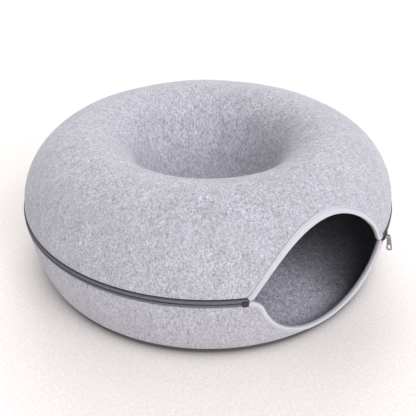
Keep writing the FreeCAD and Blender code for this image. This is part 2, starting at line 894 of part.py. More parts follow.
upper_shell = make_top_shell()
lower_shell = make_lower_shell()
pieces = [
    upper_shell,
    lower_shell,
    make_top_binding(upper_shell),
    make_lower_binding(lower_shell),
    make_tape("upper_zip_tape", 1),
    make_tape("lower_zip_tape", -1),
    make_coil("upper_zip_coil", 1),
    make_coil("lower_zip_coil", -1),
    make_slider(),
    make_pull(),
    make_retainer_box(),
    make_clip("zip_insertion_pin", 1, dim.box_bearing, dim.pin_length),
    make_clip("upper_end_stop", 1, dim.stop_bearing, dim.stop_length),
    make_clip("lower_end_stop", -1, dim.stop_bearing, dim.stop_length),
]
doc.recompute()

for thing in doc.Objects:
    if "Invalid" in thing.State or "Error" in thing.State:
        raise RuntimeError(f"{thing.Name} failed: {thing.State}")
for piece in pieces:
    shape = piece.Shape
    if shape.isNull() or not shape.isValid() or len(shape.Solids) != 1:
        raise RuntimeError(f"{piece.Label} is not one valid solid")

os.makedirs("parts", exist_ok=True)
for piece in pieces:
    piece.Shape.exportStep(f"parts/{piece.Label}.step")
    box = piece.Shape.BoundBox
    print(
        f"{piece.Label:18s} {piece.Shape.Volume / 1000:9.2f} cm3  "
        f"x {box.XMin:.1f} {box.XMax:.1f}  y {box.YMin:.1f} {box.YMax:.1f}  "
        f"z {box.ZMin:.1f} {box.ZMax:.1f}"
    )
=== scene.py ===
"""Looks of a round felt pet bed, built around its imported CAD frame.

Metres, +Z up, the origin on the ground at the ring's axis and the entrance facing -Y.
A bearing is an angle about the axis from the middle of the entrance, positive towards +X.
The felt halves, bindings and zip are made again here as fabric, from the same few sizes
as the frame, and the small hard parts get their rounded edges and their finish.
"""

import math

import bpy
import numpy as np
from mathutils import Matrix, Vector


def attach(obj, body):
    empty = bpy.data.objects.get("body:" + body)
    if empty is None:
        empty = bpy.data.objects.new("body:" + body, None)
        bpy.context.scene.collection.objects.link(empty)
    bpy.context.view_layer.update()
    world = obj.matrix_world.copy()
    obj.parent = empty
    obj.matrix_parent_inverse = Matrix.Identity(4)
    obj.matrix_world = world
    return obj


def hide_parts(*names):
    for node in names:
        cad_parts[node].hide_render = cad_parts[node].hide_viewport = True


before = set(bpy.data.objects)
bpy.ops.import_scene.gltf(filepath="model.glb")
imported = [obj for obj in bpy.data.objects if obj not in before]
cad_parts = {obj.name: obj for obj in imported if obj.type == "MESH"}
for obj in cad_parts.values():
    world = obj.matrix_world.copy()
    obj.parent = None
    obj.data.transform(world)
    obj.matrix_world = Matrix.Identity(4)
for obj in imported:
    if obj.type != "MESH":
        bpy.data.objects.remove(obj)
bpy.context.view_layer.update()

MM = 0.001

# ---------------------------------------------------------------- sizes of the frame

RING_R = 250 * MM          # from the axis to the widest place, at the zip
ZIP_Z = 90 * MM            # height of the zip
TUBE_R = 90 * MM           # outer wall and crown of the top half
RIM_R = 60 * MM            # crown's inner side
FUNNEL = 68                # nest wall from the level, in degrees
NEST_R = 45 * MM           # between the nest's wall and its floor
SIDE_R = 265 * MM          # steep side of the lower half
FOOT_AT = 217 * MM         # outer radius of the flat ring that it stands on
BASE_AT = 130 * MM         # inner radius of that flat ring
BASE_R = 40 * MM           # between the flat ring and the hollow under the nest
FELT = 4 * MM
HEM = 2 * MM               # felt where it is pressed on the zip
HEM_RUN = 10.6 * MM        # over which it thins to that
FLOOR_MEET = 60 * MM       # height where the two nest floors meet
FLOOR_GAP = 0.4 * MM       # between them
BAND = 5.5 * MM            # from the zip's middle to the felt's edge
HALF_GAP = 0.3 * MM        # from the zip's middle to each half's binding

ENTRANCE_HALF = 104 * MM   # from the middle of the entrance to its corner
ENTRANCE_WITHIN = 30       # both its corners lie within this bearing, in degrees
RISE = 63.6 * MM           # of the entrance over the zip
DROP = 72 * MM             # of the entrance under the zip
APEX_SHIFT = 7 * MM        # of the entrance's highest place towards +X
LONG_TIP = 21.5 * MM       # radius of its corners above right and below left
SHORT_TIP = 10.5 * MM      # radius of its corners above left and below right
BINDING_END = 99.3 * MM    # from the middle of the entrance to the binding's end at the zip
BINDING_WIDTH = 6.5 * MM
BINDING_THICK = 1 * MM

CROWN_AT = RING_R - TUBE_R
TOP_Z = ZIP_Z + TUBE_R
SIDE_AT = RING_R - SIDE_R
foot_span = RING_R - FOOT_AT
FOOT_R = (foot_span**2 + ZIP_Z**2 - 2 * foot_span * SIDE_R) / (2 * (ZIP_Z - SIDE_R))
FOOT_JOIN = math.degrees(math.asin((ZIP_Z - FOOT_R) / (SIDE_R - FOOT_R)))

TAPE_FACE = 251.4 * MM     # radius of the zip's bare band, which stands a little proud
TAPE_THICK = 0.8 * MM
TAPE_EDGE = 0.8 * MM       # from the zip's middle to the frame's tape and coil
TAPE_RIB_PITCH = 2.2 * MM
TAPE_RIB_SLANT = 1.1       # of the ribs along the ring, for each unit of height
COIL_THICK, COIL_WIDTH = 2 * MM, 2.6 * MM
# Bearings where the tapes, the chain and the slider start, and how far they run, in degrees.
TAPE_FIRST, TAPE_SWEEP = 23.8, 312.2
CHAIN_FIRST, CHAIN_SWEEP = 24.4, 309.5
SLIDER_BEARING = 25.85

ARC_SAMPLES = 160          # points on each arc of the felt's section
HALVINGS = 40              # of a span, to find a place in it

# ---------------------------------------------------------------- small helpers


def smooth_step(value, low, high):
    t = np.clip((value - low) / (high - low), 0, 1)
    return t * t * (3 - 2 * t)


def first_place(reached, low, high):
    """The place between low and high from which reached is true."""
    for _ in range(HALVINGS):
        middle = (low + high) / 2
        if reached(middle):
            high = middle
        else:
            low = middle
    return high


def on_ring(radius, bearing, height):
    """Places from their radius, bearing in radians and height."""
    radius, bearing, height = np.broadcast_arrays(radius, bearing, height)
    return np.stack([radius * np.sin(bearing), -radius * np.cos(bearing), height], -1)


def grid_faces(columns, rows, round_columns=False, round_rows=False, first=0):
    """Quads of a grid whose point is first + column * rows + row."""
    faces = []
    for c in range(columns if round_columns else columns - 1):
        here, there = first + c * rows, first + (c + 1) % columns * rows
        for r in range(rows if round_rows else rows - 1):
            up = (r + 1) % rows
            faces.append((here + r, there + r, there + up, here + up))
    return faces


def make_piece(name, points, faces, body, nodes=(), materials=(), marks=None):
    """A mesh piece that rides on a body and stands for CAD nodes. marks picks its materials."""
    mesh = bpy.data.meshes.new(name)
    mesh.from_pydata(np.asarray(points).reshape(-1, 3).tolist(), [], faces)
    for material in materials:
        mesh.materials.append(material)
    if marks is not None:
        mesh.polygons.foreach_set("material_index", marks)
    mesh.polygons.foreach_set("use_smooth", [True] * len(mesh.polygons))
    mesh.validate()
    mesh.update()
    piece = bpy.data.objects.new(name, mesh)
    bpy.context.scene.collection.objects.link(piece)
    return dress(piece, body, nodes)


def dress(piece, body, nodes=()):
    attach(piece, body)
    if nodes:
        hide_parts(*nodes)
    return piece


# ---------------------------------------------------------------- the felt's section


def arc_run(centre, radius, start, stop, facing=1):
    """Points and normals along an arc, angles in degrees; facing -1 turns the normals in."""
    angle = np.radians(np.linspace(start, stop, ARC_SAMPLES))
    normal = np.stack([np.cos(angle), np.sin(angle)], 1)
    return np.array(centre) + radius * normal, facing * normal


class Half:
    """A felt half. sign is 1 for the top and -1 for the lower half.

    Its outer face is a section from the zip edge to the axis, sampled along its length.
    """

    def __init__(self, sign, rise, floor_face):
        self.sign, self.rise, self.shift = sign, rise, APEX_SHIFT if sign > 0 else 0.0
        if sign > 0:
            hem = math.degrees(math.asin(BAND / TUBE_R))
            rim = (CROWN_AT, TOP_Z - RIM_R)
            rim_radius = RIM_R
            runs = [arc_run((CROWN_AT, ZIP_Z), TUBE_R, hem, 90)]
        else:
            hem = math.degrees(math.asin(BAND / SIDE_R))
            rim = (BASE_AT, BASE_R)
            rim_radius = BASE_R
            runs = [
                arc_run((SIDE_AT, ZIP_Z), SIDE_R, -hem, -FOOT_JOIN),
                arc_run((FOOT_AT, FOOT_R), FOOT_R, -FOOT_JOIN, -90),
            ]
        runs.append(arc_run(rim, rim_radius, sign * 90, sign * (90 + FUNNEL)))
        leave = runs[-1][0][-1]
        lean = math.radians(FUNNEL)
        nest_z = floor_face + sign * NEST_R
        fall = (leave[1] - nest_z) * sign + NEST_R * math.cos(lean)
        nest_r = leave[0] - fall / math.tan(lean) - NEST_R * math.sin(lean)
        runs.append(
            arc_run((nest_r, nest_z), NEST_R, sign * (FUNNEL - 90), -sign * 90, facing=-1)
        )
        level = np.linspace(nest_r, 0, 12)[1:]
        flat = np.stack([level, np.full(len(level), floor_face)], 1)
        runs.append((flat, np.tile([0.0, float(sign)], (len(level), 1))))
        self.points = np.concatenate([run[0] for run in runs])
        self.normals = np.concatenate([run[1] for run in runs])
        steps = np.linalg.norm(np.diff(self.points, axis=0), axis=1)
        self.along = np.concatenate([[0], np.cumsum(steps)])
        self.end = self.along[-1]
        self.crown = self.along[np.argmax(sign * self.points[:, 1])]

    def at(self, s):
        """Radius, height and normal at a distance along the section from the zip edge."""
        values = [np.interp(s, self.along, c) for c in (*self.points.T, *self.normals.T)]
        size = np.hypot(values[2], values[3])
        return values[0], values[1], values[2] / size, values[3] / size

    def felt_at(self, s):
        """Thickness of the felt, which is pressed thin where it is sewn to the zip."""
        return HEM + (FELT - HEM) * np.clip(s / HEM_RUN, 0, 1)

    def arcs(self, towards):
        """Reach, small radius and wide radius of the entrance's edge to one side of its apex."""
        width = ENTRANCE_HALF - towards * self.shift
        tip = np.where(towards == self.sign, LONG_TIP, SHORT_TIP)
        return width, tip, (width**2 / self.rise + self.rise) / 2 - tip

    def opening(self, x, grown=0.0):
        """Height of the entrance's outline from the zip, at a place across it."""
        off = np.abs(x - self.shift)
        width, tip, wide = self.arcs(np.where(x >= self.shift, 1, -1))
        join = width * (wide + grown) / (wide + tip)
        arch = self.rise - wide + np.sqrt(np.maximum((wide + grown) ** 2 - off**2, 0))
        corner = tip - np.sqrt(np.maximum((tip - grown) ** 2 - (off - width) ** 2, 0))
        return np.where(off > width, 0.0, np.where(off < join, arch, corner))

    def edge_of(self, bearing):
        """Where the felt starts on its section: at the zip, or higher at the entrance."""
        if abs(bearing) > math.radians(ENTRANCE_WITHIN) or self.above_edge(0.0, bearing):
            return 0.0
        return first_place(lambda s: self.above_edge(s, bearing), 0.0, self.crown)

    def above_edge(self, s, bearing):
        """Whether a place on the section is clear of the entrance and of the binding's fold."""
        r, z, _, _ = self.at(s)
        return abs(z - ZIP_Z) >= self.opening(r * math.sin(bearing), BINDING_THICK)

    def wall_radius(self, height, out):
        """Radius of the outer wall grown by out, at a distance above or below the zip."""
        if self.sign > 0:
            return CROWN_AT + np.sqrt((TUBE_R + out) ** 2 - height**2)
        steep = SIDE_AT + np.sqrt((SIDE_R + out) ** 2 - height**2)
        below = np.maximum(height - ZIP_Z + FOOT_R, 0.0)
        foot = FOOT_AT + np.sqrt(np.maximum((FOOT_R + out) ** 2 - below**2, 0))
        join = (SIDE_R + out) * math.sin(math.radians(FOOT_JOIN))
        return np.where(height > join, foot, steep)


top_half = Half(1, RISE, FLOOR_MEET + FLOOR_GAP / 2 + FELT)
bottom_half = Half(-1, DROP, FLOOR_MEET - FLOOR_GAP / 2 - FELT)

# ---------------------------------------------------------------- materials


class Nodes:
    """Builds a material's nodes and links with short calls."""

    def __init__(self, name):
        self.material = bpy.data.materials.new(name)
        self.material.use_nodes = True
        self.tree = self.material.node_tree
        self.shader = self.tree.nodes["Principled BSDF"]
        place = self.add("ShaderNodeTexCoord")
        self.place = place.outputs["Object"]

    def add(self, kind, **settings):
        node = self.tree.nodes.new(kind)
        for key, value in settings.items():
            setattr(node, key, value)
        return node

    def feed(self, socket, value):
        if isinstance(value, bpy.types.NodeSocket):
            self.tree.links.new(value, socket)
        else:
            socket.default_value = value

    def maths(self, operation, *values):
        node = self.add("ShaderNodeMath", operation=operation)
        for socket, value in zip(node.inputs, values):
            self.feed(socket, value)
        return node.outputs[0]

    def split(self):
        node = self.add("ShaderNodeSeparateXYZ")
        self.feed(node.inputs[0], self.place)
        return node.outputs

    def join(self, x, y, z):
        node = self.add("ShaderNodeCombineXYZ")
        for socket, value in zip(node.inputs, (x, y, z)):
            self.feed(socket, value)
        return node.outputs[0]

    def noise(self, scale, detail=2.0, roughness=0.5, distortion=0.0, at=None, fourth=None):
        node = self.add("ShaderNodeTexNoise", noise_dimensions="3D" if fourth is None else "4D")
        self.feed(node.inputs["Vector"], self.place if at is None else at)
        if fourth is not None:
            self.feed(node.inputs["W"], fourth)
        for key, value in (
            ("Scale", scale),
            ("Detail", detail),
            ("Roughness", roughness),
            ("Distortion", distortion),
        ):
            node.inputs[key].default_value = value
        return node.outputs["Fac"]

    def spread(self, value, low, high, to_low=0.0, to_high=1.0, smooth=False):
        """value from low to high becomes to_low to to_high, and is held outside."""
        node = self.add("ShaderNodeMapRange")
        if smooth:
            node.interpolation_type = "SMOOTHSTEP"
        for socket, number in zip(node.inputs, (value, low, high, to_low, to_high)):
            self.feed(socket, number)
        return node.outputs[0]

    def tint(self, colour, *factors):
        """A colour made lighter or darker by each of the factors."""
        share = 1.0
        for factor in factors:
            share = self.maths("MULTIPLY", share, factor)
        node = self.add("ShaderNodeVectorMath", operation="SCALE")
        self.feed(node.inputs[0], colour)
        self.feed(node.inputs["Scale"], share)
        return node.outputs[0]

    def blend(self, share, first, second):
        node = self.add("ShaderNodeMix", data_type="RGBA")
        self.feed(node.inputs["Factor"], share)
        self.feed(node.inputs["A"], first)
        self.feed(node.inputs["B"], second)
        return node.outputs["Result"]

    def bump(self, height, distance, strength=1.0):
        node = self.add("ShaderNodeBump")
        self.feed(node.inputs["Height"], height)
        node.inputs["Distance"].default_value = distance
        node.inputs["Strength"].default_value = strength
        self.feed(self.shader.inputs["Normal"], node.outputs[0])

    def distance(self, x, y):
        flat_square = self.maths("ADD", self.maths("MULTIPLY", x, x), self.maths("MULTIPLY", y, y))
        return self.maths("SQRT", flat_square)

    def finish(self, **sockets):
        """Fills the shader's sockets, named with _ for each space."""
        for key, value in sockets.items():
            self.feed(self.shader.inputs[key.replace("_", " ")], value)
        return self.material


# The grain has coordinates of its own. GRAIN_ALONG is their scale outwards and upwards, and
# GRAIN_ROUND + NEAR_GAIN / (radius + NEAR_GUARD) is their scale round the ring.
GRAIN_ALONG, GRAIN_ROUND = 0.35, 0.75
NEAR_GAIN, NEAR_GUARD = 0.07, 0.03
AXIS_GUARD = 0.0001                 # keeps a radius that divides off 0
UPRIGHT_FROM, UPRIGHT_TO = 0.20, 0.24   # radii between which the felt turns upright
MOULDED_TO, WALL_FROM = 0.15, 0.235     # radii between which the strong grain ends
MOULDED_GRAIN, WALL_GRAIN = 1.5, 1.2    # strength of the grain on either side of those
DEEP_FROM = (-0.02, -0.20)          # place in the tunnel that its felt's painted shade darkens away from
DEEP_START, DEEP_END = 0.05, 0.22   # distances over which it darkens
NEST_SHADE = 0.86                   # painted shade: share of its colour that the felt of the nest keeps, in its hollow
NEST_TO, CROWN_FROM = 0.07, 0.125   # radii between which that painted shade ends
FIBRE_DARK = (0.46, 0.49, 0.60)     # colour of the dark flecks as shares of the felt's


def felt_material(name, colour, contrast=1.0, deep_shade=1.0):
    """Pressed felt of light and dark fibres, drawn out along the way that it was moulded.

    contrast makes its grain stronger. deep_shade is painted shade: the share of its colour that
    it keeps deep in the tunnel, away from the entrance.
    """
    n = Nodes(name)
    x, y, z = n.split()
    radius = n.maths("ADD", n.distance(x, y), AXIS_GUARD)
    # Grain on grain_at is three to four times as long along the section as round the ring,
    # and it narrows less towards the axis than the felt does.
    guarded = n.maths("ADD", radius, NEAR_GUARD)
    drawn = n.maths("DIVIDE", n.maths("MULTIPLY", radius, NEAR_GAIN), guarded)
    circle = n.maths("ADD", n.maths("MULTIPLY", radius, GRAIN_ROUND), drawn)
    share = n.maths("DIVIDE", circle, radius)
    out = n.maths("MULTIPLY", radius, GRAIN_ALONG)
    up = n.maths("MULTIPLY", z, GRAIN_ALONG)
    grain_at = n.join(n.maths("MULTIPLY", x, share), n.maths("MULTIPLY", y, share), out)

    # Where the wall is upright the mottle is as long round the ring as up the wall.
    drawn_mottle = n.noise(430, 3.0, 0.72, at=grain_at, fourth=up)
    round_mottle = n.noise(430, 3.0, 0.72)
    on_wall = n.spread(radius, UPRIGHT_FROM, UPRIGHT_TO, 0.0, 1.0, smooth=True)
    change = n.maths("MULTIPLY", n.maths("SUBTRACT", round_mottle, drawn_mottle), on_wall)
    mottle = n.maths("ADD", drawn_mottle, change)
    fibres = n.noise(900, 3.0, 0.7, 1.0, at=grain_at, fourth=up)
    flecks = n.noise(330, 2.5, 0.65, 0.6, at=grain_at, fourth=n.maths("ADD", up, 3.0))
    hairs = n.noise(520, 1.5, 0.5, 2.5, at=grain_at, fourth=n.maths("ADD", up, 7.0))
    streaks = n.noise(75, 3.0, 0.6, 0.8, at=grain_at, fourth=n.maths("ADD", up, 5.0))
    clouds = n.noise(14, 2.0, 0.5)
    # The crown and nest are stretched in the mould, so their fibres show more.
    strongest, weakest = MOULDED_GRAIN * contrast, WALL_GRAIN * contrast
    strength = n.spread(radius, MOULDED_TO, WALL_FROM, strongest, weakest)

    def grain(fibre, low, high, less, more):
        """Darkens by up to less and lightens by up to more, times the grain's strength."""
        lightest = n.maths("ADD", n.maths("MULTIPLY", strength, more), 1.0)
        darkest = n.maths("SUBTRACT", 1.0, n.maths("MULTIPLY", strength, less))
        return n.spread(fibre, low, high, darkest, lightest)

    # Painted shade: the felt gets darker away from a place near the entrance, deep in the tunnel.
    off_x = n.maths("SUBTRACT", x, DEEP_FROM[0])
    off_y = n.maths("SUBTRACT", y, DEEP_FROM[1])
    reach = n.distance(off_x, off_y)
    shade = n.spread(reach, DEEP_START, DEEP_END, 1.0, deep_shade, smooth=True)
    # Painted shade: the felt of the nest is darker, for the shade that falls in its hollow.
    nest = n.spread(radius, NEST_TO, CROWN_FROM, NEST_SHADE, 1.0, smooth=True)
    dark = n.tint(tuple(c * k for c, k in zip(colour, FIBRE_DARK)), shade, nest)
    ground = n.tint(
        colour,
        grain(mottle, 0.3, 0.7, 0.33, 0.31),
        grain(fibres, 0.25, 0.75, 0.3, 0.28),
        grain(hairs, 0.58, 0.72, 0.0, 0.26),
        grain(streaks, 0.3, 0.7, 0.09, 0.09),
        n.spread(clouds, 0.3, 0.7, 0.975, 1.025),
        shade,
        nest,
    )
    fleck_edge = n.spread(streaks, 0.3, 0.7, 0.62, 0.52)
    fleck = n.spread(n.maths("SUBTRACT", flecks, fleck_edge), 0.0, 0.13, 0.0, 0.75, smooth=True)
    colour = n.blend(fleck, ground, dark)
    height = n.maths("ADD", mottle, n.maths("MULTIPLY", fibres, 0.6))
    n.bump(height, 0.7 * MM, 0.6)
    return n.finish(
        Base_Color=colour,
        Roughness=0.95,
        Specular_IOR_Level=0.15,
        Sheen_Weight=0.25,
        Sheen_Roughness=0.6,
        Sheen_Tint=(0.95, 0.95, 1.0, 1.0),
    )


def binding_material():
    """Smooth folded tape with a fine cross rib."""
    rib_pitch = 0.9 * MM
    n = Nodes("binding_tape")
    x, _, z = n.split()
    rib = n.maths("SINE", n.maths("MULTIPLY", n.maths("ADD", x, z), 2 * math.pi / rib_pitch))
    soft = n.noise(160, 2.0, 0.5)
    fine = n.noise(1500, 2.0, 0.6)
    colour = n.tint(
        (0.53, 0.52, 0.58),
        n.spread(soft, 0.3, 0.7, 0.965, 1.03),
        n.spread(fine, 0.3, 0.7, 0.96, 1.03),
        n.spread(rib, -1, 1, 0.985, 1.01),
    )
    n.bump(n.maths("ADD", n.maths("MULTIPLY", rib, 0.3), fine), 0.25 * MM, 0.4)
    return n.finish(
        Base_Color=colour,
        Roughness=n.spread(soft, 0.3, 0.7, 0.55, 0.68),
        Specular_IOR_Level=0.35,
        Sheen_Weight=0.15,
        Sheen_Roughness=0.4,
    )


def tape_material():
    """Dark woven tape with slanted ribs, with shade painted darker towards the felt and the chain.
    """
    thread_pitch = 0.55 * MM
    n = Nodes("zip_tape_weave")
    x, y, z = n.split()
    bearing = n.maths("ARCTAN2", x, n.maths("MULTIPLY", y, -1.0))
    round_ring = n.maths("MULTIPLY", bearing, TAPE_FACE)
    off = n.maths("ABSOLUTE", n.maths("SUBTRACT", z, ZIP_Z))
    slant = n.maths("ADD", round_ring, n.maths("MULTIPLY", z, TAPE_RIB_SLANT))
    rib = n.maths("SINE", n.maths("MULTIPLY", slant, 2 * math.pi / TAPE_RIB_PITCH))
    thread = n.maths("SINE", n.maths("MULTIPLY", round_ring, 2 * math.pi / thread_pitch))
    wear = n.noise(220, 2.0, 0.55)
    colour = n.tint(
        (0.128, 0.126, 0.156),
        n.spread(rib, -1, 1, 0.76, 1.2),
        n.spread(thread, -1, 1, 0.9, 1.08),
        n.spread(wear, 0.3, 0.7, 0.9, 1.1),
        # Painted shade in the gaps beside the chain and beside the felt.
        n.spread(off, 0.5 * MM, 1.1 * MM, 0.3, 1.0, smooth=True),
        n.spread(off, 3.7 * MM, 4.7 * MM, 1.0, 0.35, smooth=True),
    )
    n.bump(n.maths("ADD", rib, n.maths("MULTIPLY", thread, 0.4)), 0.15 * MM, 0.7)
    return n.finish(
        Base_Color=colour, Roughness=0.72, Specular_IOR_Level=0.3, Sheen_Weight=0.1
    )


def coil_material():
    """Nylon of the coil, a little polished by the slider."""
    n = Nodes("coil_nylon")
    worn = n.noise(500, 2.0, 0.5)
    return n.finish(
        Base_Color=n.tint((0.02, 0.02, 0.024), n.spread(worn, 0.3, 0.7, 0.8, 1.3)),
        Roughness=n.spread(worn, 0.3, 0.7, 0.32, 0.5),
        Specular_IOR_Level=0.5,
    )


def lacquer_material():
    """Black lacquer on a die casting, with an uneven gloss."""
    n = Nodes("slider_lacquer")
    broad, fine = n.noise(260, 2.0, 0.5), n.noise(1400, 2.0, 0.6)
    n.bump(fine, 0.05 * MM, 0.4)
    return n.finish(
        Base_Color=n.tint((0.016, 0.016, 0.019), n.spread(broad, 0.3, 0.7, 0.8, 1.3)),
        Metallic=0.35,
        Roughness=n.spread(broad, 0.3, 0.7, 0.26, 0.42),
        Specular_IOR_Level=0.5,
    )


def plated_material():
    """Satin plating, brushed up and down."""
    brush_stretch = 0.08
    n = Nodes("pull_plating")
    x, y, z = n.split()
    drawn = n.join(x, y, n.maths("MULTIPLY", z, brush_stretch))
    brushed = n.noise(900, 3.0, 0.6, at=drawn)
    broad = n.noise(180, 2.0, 0.5)
    n.bump(brushed, 0.03 * MM, 0.5)
    return n.finish(
        Base_Color=n.tint((0.36, 0.36, 0.39), n.spread(broad, 0.3, 0.7, 0.85, 1.1)),
        Metallic=1.0,
        Roughness=n.spread(brushed, 0.25, 0.75, 0.26, 0.42),
    )


def fitting_material():
    """Matte moulded plastic of the box, the pin and the stops."""
    n = Nodes("fitting_plastic")
    fine = n.noise(2200, 2.0, 0.6)
    n.bump(fine, 0.05 * MM, 0.6)
    return n.finish(
        Base_Color=n.tint((0.02, 0.02, 0.024), n.spread(fine, 0.3, 0.7, 0.85, 1.2)),
        Roughness=n.spread(fine, 0.3, 0.7, 0.42, 0.56),
        Specular_IOR_Level=0.5,
    )


def thread_material():
    """Twisted sewing thread."""
    twist_rate = 9000.0
    n = Nodes("sewing_thread")
    x, y, z = n.split()
    diagonal = n.maths("ADD", n.maths("ADD", x, y), z)
    twist = n.maths("SINE", n.maths("MULTIPLY", diagonal, twist_rate))
    n.bump(twist, 0.06 * MM, 0.6)
    return n.finish(
        Base_Color=n.tint((0.42, 0.41, 0.46), n.spread(twist, -1, 1, 0.88, 1.06)),
        Roughness=0.7,
        Specular_IOR_Level=0.3,
    )


outer_felt = felt_material("heather_felt", (0.42, 0.413, 0.463))
# The tunnel's floor is the same felt, with shade painted darker deep in the tunnel.
floor_felt = felt_material(
    "heather_felt_tunnel_floor", (0.405, 0.40, 0.475), contrast=1.5, deep_shade=0.34
)
# Painted shade: the tunnel's ceiling is the same felt, painted almost black for the shade under it.
painted_shade_ceiling_felt = felt_material(
    "heather_felt_tunnel_ceiling_painted_shade", (0.075, 0.074, 0.082), contrast=1.2
)
binding_tape = binding_material()
zip_weave = tape_material()
coil_nylon = coil_material()
lacquer = lacquer_material()
plating = plated_material()
fitting_plastic = fitting_material()
thread = thread_material()

# ---------------------------------------------------------------- felt halves

SWELLS, SWELL_HEIGHT = 26, 0.08 * MM
MOST_TURNS = 10            # a swell repeats fewer times than this round the ring
MOST_WAVES = 45            # radians of a swell along each metre of the section, at most


def unevenness(half, bearing, s):
    """How far the hand-moulded felt stands off its true form, along its normal."""
    rng = np.random.default_rng(7 if half.sign > 0 else 8)
    height = np.zeros(np.broadcast(bearing, s).shape)
    for _ in range(SWELLS):
        turns = rng.integers(1, MOST_TURNS)
        waves = rng.uniform(-MOST_WAVES, MOST_WAVES)
        phase = rng.uniform(0, 2 * math.pi)
        height = height + np.sin(turns * bearing + waves * s + phase)
    r, z, _, _ = half.at(s)
    # It fades out at the zip, on the nest's floor and on the ground.
    off_zip = smooth_step(s, 0.0, 35 * MM)
    off_nest_floor = smooth_step(r, 50 * MM, 80 * MM)
    off_ground = smooth_step(z, 8 * MM, 40 * MM)
    return SWELL_HEIGHT * height * off_zip * off_nest_floor * off_ground


def felt_bearings(half):
    """Bearings of the felt's columns, closer at the entrance and exact at its corners."""
    step = 0.6
    well_open, within = 20, ENTRANCE_WITHIN
    corners = []
    for towards in (-1, 1):
        closed_at = first_place(
            lambda bearing: half.edge_of(towards * bearing) <= 0,
            math.radians(well_open),
            math.radians(within),
        )
        corners.append(towards * math.degrees(closed_at))
    fine = np.sort(np.concatenate([np.arange(-within, within, step / 3), corners]))
    return np.radians(np.concatenate([fine, np.arange(within, 360 - within, step)]))


def make_felt_half(name, half, body):
    """One moulding as a closed skin: inner face, rounded edge, outer face."""
    wall_rows, nest_rows, edge_steps, pole_gap = 44, 58, 6, 2 * MM
    wall = np.linspace(0, 1, wall_rows, endpoint=False)
    beyond = np.linspace(half.crown, half.end - pole_gap, nest_rows)
    turn = np.linspace(0, math.pi, edge_steps + 1)[1:-1]
    columns = []
    for bearing in felt_bearings(half):
        edge = half.edge_of(bearing)
        thick = half.felt_at(edge)
        start = edge + thick / 2
        s = np.concatenate([start + wall * (half.crown - start), beyond])
        s_edge = start - thick / 2 * np.sin(turn)
        deep_edge = thick / 2 * (1 - np.cos(turn))
        along = np.concatenate([s[::-1], s_edge[::-1], s])
        deep = np.concatenate([half.felt_at(s)[::-1], deep_edge[::-1], np.zeros(len(s))])
        r, z, out_r, out_z = half.at(along)
        off = unevenness(half, bearing, along) - deep
        columns.append(on_ring(r + out_r * off, bearing, z + out_z * off))
    rows = len(columns[0])
    count = len(columns)
    faces = grid_faces(count, rows, round_columns=True)
    face_z = half.points[-1][1]
    poles = [[0, 0, face_z - half.sign * FELT], [0, 0, face_z]]
    inner_pole, outer_pole = count * rows, count * rows + 1
    points = np.concatenate([*columns, poles])
    for c in range(count):
        following = (c + 1) % count
        faces.append((inner_pole, following * rows, c * rows))
        faces.append((outer_pole, c * rows + rows - 1, following * rows + rows - 1))
    if half.sign < 0:
        faces = [face[::-1] for face in faces]
    # Faces of the inner side get the second material, the tunnel's copy of the felt with painted
    # shade, and so do those at its pole.
    inner_rows = wall_rows + nest_rows
    marks = [int(i % (rows - 1) < inner_rows) for i in range(count * (rows - 1))]
    marks += [1, 0] * count
    return make_piece(
        name, points, faces, body, [name.replace("felt", "shell")],
        (outer_felt, painted_shade_ceiling_felt if half.sign > 0 else floor_felt), marks,
    )


make_felt_half("upper_felt", top_half, "top_half")
make_felt_half("lower_felt", bottom_half, "bottom_half")

# ---------------------------------------------------------------- entrance binding


def entrance_path(half, count):
    """Places across and above the zip along the entrance's outline, with normals into the felt."""
    reaches = []
    for towards in (-1, 1):
        width, tip, wide = half.arcs(towards)
        whole = (wide + tip) * math.asin(width / (wide + tip))
        cut_off = tip * math.asin((ENTRANCE_HALF - BINDING_END) / tip)
        reaches.append(towards * (whole - cut_off))
    along = np.linspace(*reaches, count)
    towards = np.where(along >= 0, 1, -1)
    width, tip, wide = half.arcs(towards)
    lean = np.arcsin(width / (wide + tip))
    on_arch = np.abs(along) <= wide * lean
    arch = np.minimum(np.abs(along) / wide, lean)
    arch_normal = np.stack([towards * np.sin(arch), np.cos(arch)], 1)
    arch_place = np.stack([half.shift + wide * arch_normal[:, 0],
                           half.rise - wide + wide * arch_normal[:, 1]], 1)
    left = ((wide + tip) * lean - np.abs(along)) / tip
    tip_normal = np.stack([towards * np.sin(left), np.cos(left)], 1)
    tip_centre = np.stack([towards * ENTRANCE_HALF, tip], 1)
    tip_place = tip_centre - tip[:, None] * tip_normal
    place = np.where(on_arch[:, None], arch_place, tip_place)
    normal = np.where(on_arch[:, None], arch_normal, tip_normal)
    return along, place, normal


def binding_section():
    """The folded tape's section: distance into the felt, and height over the felt's outer face."""
    width, thick = BINDING_WIDTH, BINDING_THICK
    back = -FELT
    # Shares of the width and the thickness: a ridge at the border, the sewn groove, the flat.
    outside = [
        (1.0, 0.0),
        (1.0, 0.55),
        (0.98, 0.88),
        (0.94, 1.00),
        (0.90, 0.90),
        (0.875, 0.42),
        (0.84, 0.26),
        (0.80, 0.42),
        (0.75, 0.80),
        (0.60, 0.88),
        (0.40, 0.88),
        (0.21, 0.84),
    ]
    outside = [(a * width, b * thick) for a, b in outside]
    bend_in, bend_out = 1.3 * MM, FELT / 2 + 0.8 * thick
    fold = [
        (bend_in * (1 - math.sin(a)), back / 2 + bend_out * math.cos(a))
        for a in np.radians(np.linspace(20, 160, 11))
    ]
    inside = [(x, back - y) for x, y in reversed(outside)]
    lining_at = 1.6 * thick
    lining = [(lining_at, back), (lining_at, 0.0)]
    return np.array(outside + fold + inside + lining)


